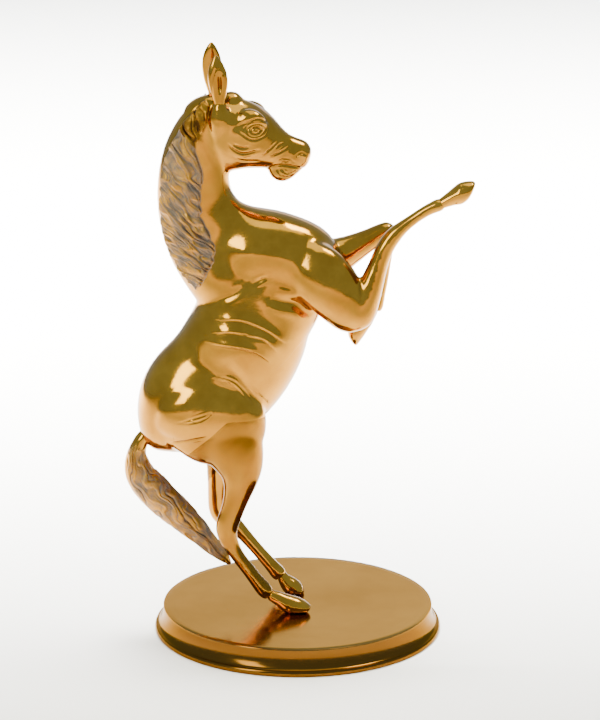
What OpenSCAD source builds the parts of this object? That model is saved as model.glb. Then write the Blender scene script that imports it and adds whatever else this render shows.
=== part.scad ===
// Brass hood-ornament foal, rearing on its hind feet, on a turned round stand.
// +X is the way the foal faces, +Y is its left side, +Z is up.
// The origin is the middle of the stand's underside. All sizes are in millimetres.

/* [Stand] */
// Radius of the stand at its foot
foot_r = 72; // [70:0.5:76]
// Radius of the flat top of the stand
top_r = 67.7; // [66:0.1:69]
// Height of the stand, from the table to its flat top
stand_h = 13; // [12.5:0.5:14]
// Height of the foot ring under the flared rim
ring_h = 3; // [2.5:0.1:3.2]
// Thickness of the stand's top plate and rim
plate_t = 3; // [2.5:0.1:3]
// Thickness of the felt pad
felt_t = 1.5; // [1:0.1:2]

/* [Castings] */
// Wall thickness of the hollow castings
wall = 3; // [2.5:0.1:4]
// Number of sides round each limb
sides = 20; // [16:2:24]
// Number of rings between two stations of a limb
steps = 2; // [1:1:3]
// Radius of the spigot that joins two small castings
spigot_r = 1.6; // [1.2:0.1:1.8]

/* [Fasteners] */
// Radius of the hoof studs
stud_r = 1.5; // [1.5:0.1:1.7]
// Length of a stud above the stand's top, inside the hoof
stud_up = 4.5; // [3.5:0.5:5]
// Height of a hexagon nut
nut_h = 2.4; // [2:0.1:3]
// Across-flats size of a hexagon nut
nut_af = 5.5; // [5:0.1:6]
// Radius of a washer
washer_r = 4; // [3.5:0.1:5]
// Thickness of a washer
washer_t = 0.6; // [0.5:0.1:1]

/* [Hidden] */

brass = "#c99a3c";
aged_brass = "#a57b3a";
steel = "#b8b8b4";
felt = "#26402c";

far = 700;          // size of the blocks that trim castings, beyond the whole figure
bore_gap = 0.1;     // radial gap of a stud in the stand's plate
seat_gap = 0.02;    // radial gap of a spigot or stud in a socket, filled by braze
sole_z = stand_h;   // the hind feet stand on the stand's top

// Each limb is a row of stations along its middle line:
// [x, y, z, half depth in the side view, half width across, narrowing of the front edge].
trunk = [
    [-71, 0, 95, 3, 3, 0],       [-68, 0, 101, 12, 12, 0],     [-60.5, 0, 111.5, 22.5, 19, 0],
    [-51, 0, 121.5, 27.5, 22, 0], [-41.5, 0, 130, 29.8, 22, 0], [-34, 0, 138.5, 30.3, 22, 0],
    [-28.5, 0, 147.5, 30.3, 22.5, 0], [-24.5, 0, 156, 29.8, 22.5, 0], [-21.5, 0, 165, 29, 22.5, 0],
    [-16, 0, 175.5, 29, 21.5, 0], [-9, 0, 185, 27, 19.5, 0],   [-2, 0, 193.5, 20, 15, 0],
    [3, 0, 200, 9, 8, 0],        [4.5, 0, 202, 2, 2, 0],
];
breast = [
    [-50, 0, 196, 6, 5, 0],      [-43, 0, 198, 15, 11, 0],     [-34, 0, 200, 21, 16, 0],
    [-24, 0, 199.3, 22, 19, 0],  [-12, 0, 197, 21.3, 20, 0],   [0, 0, 194, 20, 19, 0],
    [9, 0, 191, 17.5, 16, 0],    [16, 0, 188.5, 12, 11, 0],    [20, 0, 187, 4, 4, 0],
];
neck = [
    [-19, 0, 166, 12, 10, 0],    [-23, 0, 173, 21, 15, 0],     [-31, 0, 187, 23.5, 17, -0.2],
    [-41, 0, 203, 23.8, 15.5, -0.35], [-49, 0, 219, 20.3, 13.5, -0.4],
    [-51.5, 0, 235, 17.4, 12, -0.42], [-49.3, 0, 248, 16.4, 11.5, -0.4],
    [-46, 0, 258, 14.8, 11, -0.35], [-42.5, 0, 266, 12, 9.5, -0.2], [-39, 0, 272, 5, 5, 0],
];
skull = [
    [-46, 0, 258, 5, 5, 0],      [-43, 0, 259, 12, 9.5, 0],    [-37, 0, 259.5, 16.5, 12.3, 0.05],
    [-29, 0, 258.5, 17, 13, 0.1], [-22, 0, 256.5, 15, 12.4, 0.12], [-16, 0, 253.8, 12, 10.2, 0.12],
    [-10, 0, 251, 9.4, 7.8, 0.1], [-4.5, 0, 249, 7.9, 6.6, 0],  [0, 0, 248, 7.3, 6.6, 0],
    [3.4, 0, 247.3, 6.2, 6, 0],  [5.6, 0, 246.8, 3.2, 3.5, 0], [6.2, 0, 246.6, 0.8, 1, 0],
];
chin = [
    [-15.5, 0, 243.5, 1, 1.5, 0], [-13, 0, 241.5, 3, 3.5, 0],  [-9, 0, 239.3, 4.6, 4.7, 0],
    [-4.5, 0, 239.8, 4.4, 5, 0], [0, 0, 241.8, 3, 4.4, 0],     [3, 0, 243.3, 1, 1.5, 0],
];
forelock = [
    [-37.5, 0, 271.5, 2, 2, 0],  [-36, 0, 272.5, 5.5, 5, 0],   [-33.3, 0, 273.3, 6, 6, 0],
    [-30, 0, 272, 4, 5, 0],      [-28.4, 0, 271.4, 1, 1.5, 0],
];
// The right brow; the left one mirrors it.
brow = [
    [-31, -7.5, 267.5, 1, 1, 0], [-28, -8.6, 267.5, 4, 3.5, 0], [-23, -9.2, 267, 5.4, 4.2, 0],
    [-18.5, -8.2, 264.5, 4.2, 3.4, 0], [-15.5, -7, 262.5, 1, 1, 0],
];
right_ear_line = [
    [-38.2, -7, 266, 3, 2.6, 0], [-38, -8.4, 271, 2.8, 2.4, 0], [-37.9, -9.6, 276, 2.8, 2.2, 0],
    [-38.4, -10.3, 282, 4.1, 2.4, 0], [-38.8, -10.6, 288, 4.9, 2.2, 0],
    [-39.3, -10.4, 293.5, 4.1, 1.8, 0], [-39.7, -10, 297.5, 2.3, 1.3, 0],
    [-39.9, -9.8, 300, 0.5, 0.5, 0],
];
left_ear_line = [
    [-39.2, 7, 266, 3, 2.6, 0],  [-40, 8.2, 271, 2.8, 2.4, 0], [-40.8, 9.2, 276, 2.9, 2.2, 0],
    [-41.6, 9.6, 283, 4.4, 2.4, 0], [-42, 9.6, 290, 4.9, 2.2, 0],
    [-42.2, 9.2, 295.5, 4.1, 1.8, 0], [-42.2, 8.8, 299.6, 2.3, 1.3, 0],
    [-42.3, 8.6, 302, 0.5, 0.5, 0],
];
right_arm = [
    [-6, -8, 193, 9, 5, 0],      [3, -11, 192.5, 15, 9, 0],    [12, -13.5, 188, 15.8, 10.5, 0],
    [18.5, -15, 180.5, 14.3, 10.3, 0], [23.5, -15.5, 172.5, 11.6, 9, 0],
    [27, -15.5, 166, 8.3, 7, 0], [29.3, -15.5, 161.8, 3, 3, 0],
];
right_shank = [
    [26.6, -15.5, 162, 2.5, 3, 0], [29.5, -15.5, 168, 7.6, 7, 0], [33, -15.5, 176.5, 7.4, 6.8, 0],
    [36.5, -15, 186, 6, 5.7, 0], [39.7, -14.5, 195.3, 4.8, 4.8, 0], [42.8, -14, 203.3, 4.5, 4.6, 0],
    [46.8, -13.5, 209.4, 4.2, 4.4, 0], [51.5, -13, 213.9, 3.3, 3.6, 0],
    [56, -12.7, 217.3, 2.9, 3.1, 0], [61, -12.4, 220.8, 2.8, 3, 0],
    [66, -12.2, 223.6, 3, 3.2, 0], [70, -12, 225.2, 3.3, 3.4, 0], [72, -12, 226.2, 2, 2.2, 0],
];
right_fore_hoof = [
    [67.5, -12, 224.2, 1.5, 1.8, 0], [71, -12, 226, 2.6, 2.8, 0], [74.6, -12, 228, 3.6, 3.4, 0],
    [78.4, -12, 230.4, 5.1, 4.6, 0], [82, -12, 232, 4.9, 4.8, 0], [85, -12, 234, 3, 3.8, 0],
    [87, -12, 235.2, 1.1, 2, 0],
];
left_arm = [
    [-6, 8, 191, 9, 5, 0],       [3, 10, 189, 13.5, 8.5, 0],   [12, 11.5, 189.3, 12, 9, 0],
    [20, 13, 191.5, 9.5, 8, 0],  [28, 13.5, 195.5, 7.3, 6.6, 0], [36, 13.5, 200, 5.6, 5.4, 0],
    [42, 13.5, 203.5, 4.8, 4.8, 0], [46, 13.5, 205.8, 3.7, 4, 0], [47.8, 13.5, 206.8, 1, 1.2, 0],
];
left_shank = [
    [44, 13.5, 207.5, 1.5, 2, 0], [44.4, 13.5, 203, 3.8, 4, 0], [44.3, 13.5, 195, 3.4, 3.5, 0],
    [43.3, 13.5, 186, 3, 3.1, 0], [42, 13.5, 177, 2.9, 3, 0],  [40.6, 13.5, 170, 3, 3.1, 0],
    [39.3, 13.5, 165, 3.5, 3.5, 0], [38.3, 13.5, 162.3, 2.2, 2.4, 0],
];
left_fore_hoof = [
    [39.6, 13.5, 166, 1.5, 1.8, 0], [37.4, 13.5, 161, 2.8, 2.9, 0], [34.2, 13.5, 156.6, 3.3, 3.3, 0],
    [30.7, 13.5, 151.6, 4.3, 4.1, 0], [28.4, 13.5, 147.2, 3.8, 3.8, 0],
    [27.4, 13.5, 144, 2.2, 2.6, 0], [27.2, 13.5, 142.6, 0.5, 0.8, 0],
];
right_haunch = [
    [-69.5, -9, 105.5, 4, 4, 0], [-61, -12, 109.5, 14, 10, 0], [-50, -13, 111, 19.8, 12.5, 0],
    [-38, -13, 111, 21, 13, 0],  [-28, -12.8, 108.5, 17.5, 12, 0], [-20.5, -12.4, 106, 10, 8, 0],
    [-16, -12, 104.5, 2, 2, 0],
];
right_gaskin = [
    [-37, -12.5, 117, 11, 9, 0], [-33.5, -13, 106, 15.8, 10.8, 0], [-30, -13.7, 95, 13.8, 9.8, 0],
    [-28.4, -14, 87, 10.7, 8.2, 0], [-29.2, -14, 79.4, 7.8, 6.6, 0], [-31.3, -14, 71.4, 6.2, 5.6, 0],
    [-33.5, -14, 64.4, 5.7, 5, 0], [-35.4, -14, 58.6, 5.6, 4.6, 0], [-34.8, -14, 52.6, 4.8, 4.3, 0],
    [-31.8, -14, 46, 3.7, 3.8, 0], [-28, -14, 40.2, 3.3, 3.5, 0], [-24, -14, 34.9, 3.4, 3.5, 0],
    [-20, -14, 29.2, 3.6, 3.6, 0], [-16.2, -14, 24.3, 4, 3.8, 0], [-13.8, -14, 21.4, 2.6, 2.6, 0],
];
right_hind_hoof = [
    [-16, -14, 23.4, 1.5, 1.8, 0], [-12, -14, 20.4, 3.2, 3.3, 0], [-8.3, -14, 19.4, 4.2, 4, 0],
    [-4, -14, 18, 5.2, 4.8, 0], [0, -14, 16.6, 4.9, 4.9, 0], [4, -14, 15.4, 3, 3.8, 0],
    [6.6, -14, 14.8, 1.2, 1.8, 0],
];
left_haunch = [
    [-70.5, 9, 104.5, 4, 4, 0],  [-63, 12, 107.5, 14, 10, 0],  [-52, 13, 109, 19.8, 12.5, 0],
    [-40, 13, 109, 21, 13, 0],   [-30, 12.8, 106.5, 17.5, 12, 0], [-22.5, 12.4, 104, 10, 8, 0],
    [-18, 12, 102.5, 2, 2, 0],
];
left_gaskin = [
    [-38, 12.5, 114, 11, 9, 0],  [-36, 13, 104, 15.6, 10.8, 0], [-34.8, 13.7, 93, 13.4, 9.8, 0],
    [-35.4, 14, 84, 11, 8.2, 0], [-36.8, 14, 75, 8.8, 6.8, 0], [-38, 14, 66.5, 7.4, 5.9, 0],
    [-38.6, 14, 60, 6.6, 5.2, 0], [-38, 14, 55.8, 6, 4.8, 0],  [-35, 14, 52.6, 5, 4.4, 0],
    [-31, 14, 48.8, 4.1, 4, 0],  [-27, 14, 44.3, 3.5, 3.6, 0], [-22, 14, 38.3, 3.2, 3.4, 0],
    [-17, 14, 32.3, 3.2, 3.4, 0], [-12.6, 14, 27, 3.5, 3.6, 0], [-9.6, 14, 23.4, 4, 3.8, 0],
    [-7.8, 14, 21.2, 2.6, 2.6, 0],
];
left_hind_hoof = [
    [-11, 14, 24.2, 1.5, 1.8, 0], [-8, 14, 21, 3.3, 3.3, 0],   [-4.5, 14, 18.8, 4.8, 4.4, 0],
    [-1.5, 14, 17.2, 4.9, 4.8, 0], [1.2, 14, 15.8, 3.6, 4.2, 0], [3.4, 14, 14.6, 1.2, 1.8, 0],
];
tail_line = [
    [-72, 0, 106, 2, 2, 0],      [-76.5, 0, 101.5, 3.6, 3.6, 0], [-79.6, 0, 96, 4, 4, 0],
    [-80.8, 0, 90, 5.4, 5, 0],   [-79.6, 0, 83, 7.2, 6, 0],    [-75.5, 0, 76.5, 8.2, 6.6, 0],
    [-69.5, 0, 70, 8.4, 6.8, 0], [-63, 0, 63.5, 7.9, 6.4, 0],  [-56, 0, 57, 6.8, 5.6, 0],
    [-49, 0, 50, 5.5, 4.6, 0],   [-42.5, 0, 43, 4, 3.6, 0],    [-37, 0, 37.4, 2.6, 2.6, 0],
    [-33.8, 0, 33.6, 0.6, 0.8, 0],
];

// Joint planes between castings, each a point and the direction that it faces, in the side view.
neck_cut = [[-52, 175], [-42, 47]];      // from the withers to the breast, faces the neck
head_cut = [[-36, 239.5], [12, 36]];     // under the jaw, faces the head
arm_cut = [[11, 163], [40, -6]];         // in front of the belly, faces the forelegs
right_knee_cut = [[44.6, 206.3], [0.55, 0.83]];
left_knee_cut = [[43, 200.5], [0.72, -0.5]];
right_fore_fetlock = [[70.2, 225.4], [0.87, 0.5]];
left_fore_fetlock = [[38.9, 164], [-0.4, -0.92]];
right_hock_cut = [[-35, 55.5], [0.1, -1]];
left_hock_cut = [[-36.5, 54], [0.35, -1]];
right_hind_fetlock = [[-14.6, 22.3], [0.68, -0.73]];
left_hind_fetlock = [[-8.8, 22.4], [0.66, -0.75]];
tail_cut = [[-77.4, 100.3], [-0.5, -0.86]];
haunch_cut_z = 117;                      // top of the thigh castings
rump_seam_x = -61.5;                     // seam between the thighs and the rump casting

// Where the studs stand in the hooves.
stud_spots = [[-1.5, -14], [-0.5, 14]];

// ---- Limb lofts ----

function unit(v) = v / norm(v);
function clamp_at(list, i) = list[max(0, min(len(list) - 1, i))];

// A point of a Catmull-Rom curve through b and c, with a and d on either side.
function curve_point(a, b, c, d, t) =
    0.5 * (2 * b + (c - a) * t + (2 * a - 5 * b + 4 * c - d) * t * t
        + (3 * b - a - 3 * c + d) * t * t * t);

function smooth_line(line, n) = [
    for (i = [0:len(line) - 2], j = [0:n - 1])
        curve_point(clamp_at(line, i - 1), line[i], line[i + 1], clamp_at(line, i + 2), j / n),
    line[len(line) - 1],
];

function middle(s) = [s[0], s[1], s[2]];
function heading(line, i) = unit(middle(clamp_at(line, i + 1)) - middle(clamp_at(line, i - 1)));

// An ellipse square to the limb at one station, grown by an offset.
function ring(s, along, grow) =
    let (across = unit([0, 1, 0] - along * along[1]), deep = cross(across, along))
    [for (k = [0:sides - 1])
        let (a = 360 * k / sides)
        middle(s) + deep * max(0.1, s[3] + grow) * cos(a)
            + across * max(0.1, s[4] + grow) * sin(a) * (1 - s[5] * cos(a))];

// A closed solid round a line of stations. A negative grow gives the hollow core inside it.
module limb(stations, grow = 0) {
    line = smooth_line(stations, steps);
    n = len(line);
    points = [for (i = [0:n - 1]) each ring(line[i], heading(line, i), grow)];
    skin = [
        for (i = [0:n - 2], k = [0:sides - 1])
            let (a = i * sides + k, b = i * sides + (k + 1) % sides)
            each [[a, b + sides, b], [a, a + sides, b + sides]]
    ];
    first = [for (k = [1:sides - 2]) [0, k, k + 1]];
    last = [for (k = [1:sides - 2]) [(n - 1) * sides, (n - 1) * sides + k + 1, (n - 1) * sides + k]];
    polyhedron(points = points, faces = concat(skin, first, last), convexity = 6);
}

// A block that fills one side of a joint plane. Its normal lies in the side view.
module side_of(cut) {
    translate([cut[0][0], 0, cut[0][1]])
        rotate([0, -atan2(cut[1][1], cut[1][0]), 0])
            translate([0, -far / 2, -far / 2]) cube([far, far, far]);
}
module above(z) { translate([-far / 2, -far / 2, z]) cube(far); }
module below(z) { translate([-far / 2, -far / 2, z - far]) cube(far); }
module behind(x) { translate([x - far, -far / 2, -far / 2]) cube(far); }
module ahead(x) { translate([x, -far / 2, -far / 2]) cube(far); }
module right_side() { translate([-far / 2, -far, -far / 2]) cube(far); }
module left_side() { translate([-far / 2, 0, -far / 2]) cube(far); }

// Hands the finished shape over as one mesh, at its own size.
module one_mesh() { resize([0, 0, 0]) children(); }

// A round spigot that crosses a joint plane and reaches back into the casting behind it.
module spigot(cut, y, r, length) {
    translate([cut[0][0], y, cut[0][1]])
        rotate([0, -90 - atan2(cut[1][1], cut[1][0]), 0])
            translate([0, 0, -1]) cylinder(h = length + 1, r = r, $fn = 24);
}

// ---- Whole masses that the castings are cut from ----

module torso() { limb(trunk); limb(breast); limb(neck); }
module haunches() { limb(right_haunch); limb(left_haunch); limb(right_gaskin); limb(left_gaskin); }
module arms() { limb(right_arm); limb(left_arm); limb(right_shank); limb(left_shank); }
module face() {
    limb(skull);
    limb(chin);
    limb(forelock);
    limb(brow);
    mirror([0, 1, 0]) limb(brow);
}
module core() {
    limb(trunk, -wall);
    limb(breast, -wall);
    limb(neck, -wall);
    limb(right_haunch, -wall);
    limb(left_haunch, -wall);
}

// ---- Castings ----

module head() {
    color(brass) one_mesh() difference() {
        union() {
            face();
            intersection() { limb(neck); side_of(head_cut); }
        }
        core();
    }
}
module ear(line) {
    color(brass) one_mesh() difference() {
        limb(line);
        limb(skull);
        limb(neck);
        limb(forelock);
    }
}
module neck_casting() {
    color(aged_brass) one_mesh() difference() {
        intersection() { torso(); side_of(neck_cut); }
        side_of(head_cut);
        core();
        face();
    }
}
module body_half() {
    difference() {
        union() { torso(); haunches(); arms(); }
        side_of(neck_cut);
        side_of(arm_cut);
        below(haunch_cut_z);
        core();
    }
}
module body_right() {
    color(brass) one_mesh() intersection() { body_half(); right_side(); }
}
module body_left() {
    color(brass) one_mesh() intersection() { body_half(); left_side(); }
}
module rump() {
    color(brass) one_mesh() difference() {
        union() { limb(trunk); haunches(); limb(tail_line); }
        ahead(rump_seam_x);
        above(haunch_cut_z);
        side_of(tail_cut);
        core();
    }
}
module tail() {
    color(aged_brass) one_mesh() intersection() { limb(tail_line); side_of(tail_cut); }
}
module thigh(hock_cut) {
    difference() {
        union() { limb(trunk); haunches(); }
        behind(rump_seam_x);
        above(haunch_cut_z);
        side_of(hock_cut);
        core();
    }
}
module right_thigh() {
    color(brass) one_mesh() difference() {
        intersection() { thigh(right_hock_cut); right_side(); }
        spigot(right_hock_cut, -14, spigot_r + seat_gap, 5);
    }
}
module left_thigh() {
    color(brass) one_mesh() difference() {
        intersection() { thigh(left_hock_cut); left_side(); }
        spigot(left_hock_cut, 14, spigot_r + seat_gap, 5);
    }
}
module cannon(upper_line, line, upper_cut, lower_cut, y, lower_y) {
    color(brass) one_mesh() difference() {
        union() {
            difference() {
                intersection() { union() { limb(upper_line); limb(line); } side_of(upper_cut); }
                side_of(lower_cut);
            }
            spigot(upper_cut, y, spigot_r, 4.5);
        }
        spigot(lower_cut, lower_y, spigot_r + seat_gap, 5);
    }
}
module foot(hoof, line, cut, y) {
    color(brass) one_mesh() union() {
        intersection() {
            union() { limb(hoof); limb(line); }
            side_of(cut);
        }
        spigot(cut, y, spigot_r, 4.5);
    }
}
module hind_foot(hoof, line, cut, y, spot) {
    difference() {
        color(brass) one_mesh() difference() {
            union() {
                intersection() {
                    union() { limb(hoof); limb(line); }
                    side_of(cut);
                }
                spigot(cut, y, spigot_r, 4.5);
            }
            below(sole_z);
        }
        translate([spot[0], spot[1], sole_z - 1])
            cylinder(h = stud_up + 1, r = stud_r + seat_gap, $fn = 32);
    }
}
module foreleg(arm, shank, knee_cut, y) {
    difference() {
        intersection() {
            union() { torso(); limb(arm); limb(shank); }
            side_of(arm_cut);
        }
        side_of(knee_cut);
        spigot(knee_cut, y, spigot_r + seat_gap, 5);
    }
}
module right_foreleg() {
    color(brass) one_mesh() intersection() {
        foreleg(right_arm, right_shank, right_knee_cut, -13.7);
        right_side();
    }
}
module left_foreleg() {
    color(brass) one_mesh() intersection() {
        foreleg(left_arm, left_shank, left_knee_cut, 13.5);
        left_side();
    }
}

// ---- Stand ----

// The flared rim, turned in one piece with the top plate. The flare is a quarter of an ellipse.
lip_r = foot_r - 0.7;
function flare(a) = [
    lip_r - (lip_r - top_r) * sin(a),
    ring_h + (stand_h - ring_h - 1) * (1 - cos(a)),
];

module stand_top() {
    color(brass) difference() {
        rotate_extrude($fn = 128) polygon(concat(
            [[0, stand_h], [0, stand_h - plate_t], [top_r - plate_t, stand_h - plate_t],
             [top_r - plate_t, ring_h]],
            [for (a = [0:15:90]) flare(a)],
            [[top_r, stand_h - 0.3], [top_r - 0.3, stand_h]]
        ));
        for (p = stud_spots)
            translate([p[0], p[1], 0]) cylinder(h = far, r = stud_r + bore_gap, $fn = 32);
    }
}
// The ring has an inner ledge that the felt pad is glued under.
module foot_ring() {
    color(brass) rotate_extrude($fn = 128) polygon([
        [foot_r - 12, felt_t], [foot_r - 6, felt_t], [foot_r - 6, 0], [foot_r - 0.8, 0],
        [foot_r - 0.2, 0.6], [foot_r, 1.5], [foot_r - 0.2, ring_h - 0.5], [foot_r - 0.7, ring_h],
        [foot_r - 12, ring_h],
    ]);
}
module felt_pad() {
    color(felt) cylinder(h = felt_t, r = foot_r - 6.1, $fn = 128);
}

// ---- Fasteners under the stand's top ----

module at_studs() { for (p = stud_spots) translate([p[0], p[1], stand_h - plate_t]) children(); }

module studs() {
    stud_down = washer_t + nut_h + 1.2;
    color(steel) at_studs()
        translate([0, 0, -stud_down]) cylinder(h = stud_down + plate_t + stud_up, r = stud_r, $fn = 32);
}
module washers() {
    color(steel) at_studs() translate([0, 0, -washer_t]) difference() {
        cylinder(h = washer_t, r = washer_r, $fn = 48);
        translate([0, 0, -1]) cylinder(h = washer_t + 2, r = stud_r + bore_gap, $fn = 32);
    }
}
module nuts() {
    color(steel) at_studs() translate([0, 0, -washer_t - nut_h]) difference() {
        cylinder(h = nut_h, r = nut_af / 2 / cos(30), $fn = 6);
        translate([0, 0, -1]) cylinder(h = nut_h + 2, r = stud_r + seat_gap, $fn = 32);
    }
}

head();
ear(right_ear_line);  // right_ear
ear(left_ear_line);  // left_ear
neck_casting();  // neck
body_right();
body_left();
rump();
tail();
right_foreleg();
cannon(right_arm, right_shank, right_knee_cut, right_fore_fetlock, -13.7, -12);  // right_fore_cannon
foot(right_fore_hoof, right_shank, right_fore_fetlock, -12);  // right_fore_foot
left_foreleg();
cannon(left_arm, left_shank, left_knee_cut, left_fore_fetlock, 13.5, 13.5);  // left_fore_cannon
foot(left_fore_hoof, left_shank, left_fore_fetlock, 13.5);  // left_fore_foot
right_thigh();
cannon(right_haunch, right_gaskin, right_hock_cut, right_hind_fetlock, -14, -14);  // right_hind_cannon
hind_foot(right_hind_hoof, right_gaskin, right_hind_fetlock, -14, stud_spots[0]);  // right_hind_foot
left_thigh();
cannon(left_haunch, left_gaskin, left_hock_cut, left_hind_fetlock, 14, 14);  // left_hind_cannon
hind_foot(left_hind_hoof, left_gaskin, left_hind_fetlock, 14, stud_spots[1]);  // left_hind_foot
stand_top();
foot_ring();
felt_pad();
studs();
washers();
nuts();
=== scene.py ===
"""A polished brass foal, rearing on a turned round stand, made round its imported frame.

Sizes are in millimetres up to the point where a piece is put in the scene, which is in metres.
+X is the way the foal faces, +Y is its left side, +Z is up.
"""
import math

import bmesh
import bpy
import numpy as np
from mathutils import Matrix, Vector, noise


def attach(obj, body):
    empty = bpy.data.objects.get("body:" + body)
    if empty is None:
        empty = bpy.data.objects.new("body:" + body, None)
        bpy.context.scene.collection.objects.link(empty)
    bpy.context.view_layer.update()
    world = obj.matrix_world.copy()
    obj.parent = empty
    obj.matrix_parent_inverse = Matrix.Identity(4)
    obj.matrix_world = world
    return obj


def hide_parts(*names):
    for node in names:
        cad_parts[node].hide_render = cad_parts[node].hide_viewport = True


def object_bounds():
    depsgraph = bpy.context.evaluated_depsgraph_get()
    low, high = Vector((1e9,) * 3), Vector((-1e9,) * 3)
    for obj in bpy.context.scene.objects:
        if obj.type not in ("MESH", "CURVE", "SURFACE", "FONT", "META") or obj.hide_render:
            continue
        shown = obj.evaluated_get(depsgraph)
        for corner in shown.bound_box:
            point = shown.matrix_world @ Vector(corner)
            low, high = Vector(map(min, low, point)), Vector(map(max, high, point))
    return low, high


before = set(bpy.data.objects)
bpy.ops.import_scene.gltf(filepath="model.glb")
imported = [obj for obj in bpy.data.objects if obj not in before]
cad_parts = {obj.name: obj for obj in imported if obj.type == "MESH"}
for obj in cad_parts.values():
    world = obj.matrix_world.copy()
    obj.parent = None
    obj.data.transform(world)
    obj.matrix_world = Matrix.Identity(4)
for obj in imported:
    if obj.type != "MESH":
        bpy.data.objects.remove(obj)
cad_low, cad_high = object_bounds()

MM = 0.001
STAND_HEIGHT = 13
RIGHT = -1      # the foal's right side, at -Y
LEFT = 1        # its left side, at +Y
BOTH = 0        # a mark that is made on both sides


# ---------------------------------------------------------------- working with pieces

def deselect():
    """Leaves nothing selected, because an operator acts on all that is."""
    bpy.ops.object.select_all(action="DESELECT")


def pick(*pieces):
    """Selects only these pieces and makes the first one active."""
    deselect()
    for piece in pieces:
        piece.select_set(True)
    bpy.context.view_layer.objects.active = pieces[0]


def finish_with(piece, kind, **settings):
    """Adds one modifier and applies it."""
    pick(piece)
    modifier = piece.modifiers.new(kind.title(), kind)
    for key, value in settings.items():
        setattr(modifier, key, value)
    bpy.ops.object.modifier_apply(modifier=modifier.name)


def mend(piece, doubles=0.0):
    """Merges doubles, if asked to, and turns all faces outwards."""
    pick(piece)
    bpy.ops.object.mode_set(mode="EDIT")
    bpy.ops.mesh.select_all(action="SELECT")
    if doubles:
        bpy.ops.mesh.remove_doubles(threshold=doubles)
    bpy.ops.mesh.normals_make_consistent(inside=False)
    bpy.ops.object.mode_set(mode="OBJECT")


def join(name, pieces):
    """Makes one mesh of several pieces."""
    pick(*pieces)
    bpy.ops.object.join()
    pieces[0].name = pieces[0].data.name = name
    return pieces[0]


def copy_of(piece, name):
    """A copy with a mesh of its own."""
    other = piece.copy()
    other.data = piece.data.copy()
    other.name = other.data.name = name
    bpy.context.collection.objects.link(other)
    return other


def keep_largest(piece):
    """Drops the loose scraps that a remesh leaves inside a shape."""
    pick(piece)
    bpy.ops.object.mode_set(mode="EDIT")
    bpy.ops.mesh.select_all(action="SELECT")
    bpy.ops.mesh.separate(type="LOOSE")
    bpy.ops.object.mode_set(mode="OBJECT")
    parts = sorted(bpy.context.selected_objects, key=lambda o: -len(o.data.vertices))
    for scrap in parts[1:]:
        bpy.data.objects.remove(scrap)
    return parts[0]


# ---------------------------------------------------------------- limbs

def curve_point(a, b, c, d, t):
    """A point of the Catmull-Rom curve through b and c."""
    return 0.5 * (2 * b + (c - a) * t + (2 * a - 5 * b + 4 * c - d) * t * t
                  + (3 * b - a - 3 * c + d) * t ** 3)


def smooth_line(points, steps):
    """The same points with others between them, on one smooth curve."""
    points = np.array(points, float)
    last = len(points) - 1
    line = []
    for i in range(last):
        corners = points[max(i - 1, 0)], points[i], points[i + 1], points[min(i + 2, last)]
        line += [curve_point(*corners, j / steps) for j in range(steps)]
    return np.array(line + [points[last]])


def pull(name, rings, sides):
    """Draws a closed shape out of a disc, ring by ring. A ring is its middle, deep and across vectors."""
    deselect()
    bpy.ops.mesh.primitive_circle_add(vertices=sides, radius=1, fill_type="NGON")
    piece = bpy.context.object
    piece.name = piece.data.name = name
    bpy.ops.object.mode_set(mode="EDIT")
    before = Matrix.Identity(4)
    for i, (middle, deep, across) in enumerate(rings):
        if i:
            bpy.ops.mesh.extrude_region()
        along = Vector(deep).cross(Vector(across)).normalized()
        here = Matrix.Translation(Vector(middle)) @ Matrix((deep, across, along)).transposed().to_4x4()
        move = here @ before.inverted()
        shape = bmesh.from_edit_mesh(piece.data)
        for corner in shape.verts:
            if corner.select:
                corner.co = move @ corner.co
        bmesh.update_edit_mesh(piece.data)
        before = here
    bpy.ops.object.mode_set(mode="OBJECT")
    return piece


SIDES = 24              # sides of a limb's cage
ROUND_UP = 1.0115       # such a cage draws in by this much when it is subdivided
THINNEST = 0.3          # half width of a limb's ends


def limb(name, stations, steps=2, levels=2):
    """A limb along a row of stations: x, y, z, half depth in the side view, half width across."""
    line = smooth_line(stations, steps)
    rings = []
    for i, station in enumerate(line):
        ahead = line[min(i + 1, len(line) - 1)][:3]
        behind = line[max(i - 1, 0)][:3]
        along = Vector(ahead - behind).normalized()
        across = (Vector((0, 1, 0)) - along * along.y).normalized()
        deep = across.cross(along)
        depth = max(station[3], THINNEST) * ROUND_UP * MM
        width = max(station[4], THINNEST) * ROUND_UP * MM
        rings.append((station[:3] * MM, deep * depth, across * width))
    piece = pull(name, rings, SIDES)
    finish_with(piece, "SUBSURF", levels=levels, render_levels=levels)
    mend(piece)
    return piece


# Each row of stations runs along one limb: x, y, z, half depth in the side view, half width across.
TRUNK = [
    [-71.5, 0, 95, 3, 3], [-68.6, 0, 101, 13.4, 12], [-60.5, 0, 111.5, 24, 19], [-51, 0, 121.5, 28.8, 21],
    [-41.5, 0, 130, 29.8, 21], [-34, 0, 138.5, 30.3, 21], [-28.5, 0, 147.5, 30.3, 22.8],
    [-24.5, 0, 156, 29.8, 23], [-21.5, 0, 165, 29, 21.8], [-16, 0, 175.5, 29, 19.8],
    [-9, 0, 185, 27, 18], [-2, 0, 193.5, 20, 14], [3, 0, 200, 9, 8], [4.5, 0, 202, 2, 2],
]
BREAST = [
    [-50, 0, 196, 6, 5], [-43, 0, 198, 15, 11], [-34, 0, 200, 21, 16], [-24, 0, 199.3, 22, 18.5],
    [-12, 0, 197, 21.3, 19.5], [0, 0, 194, 20, 18.5], [9, 0, 191, 17.5, 16], [16, 0, 188.5, 12, 11],
    [20, 0, 187, 4, 4],
]
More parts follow.
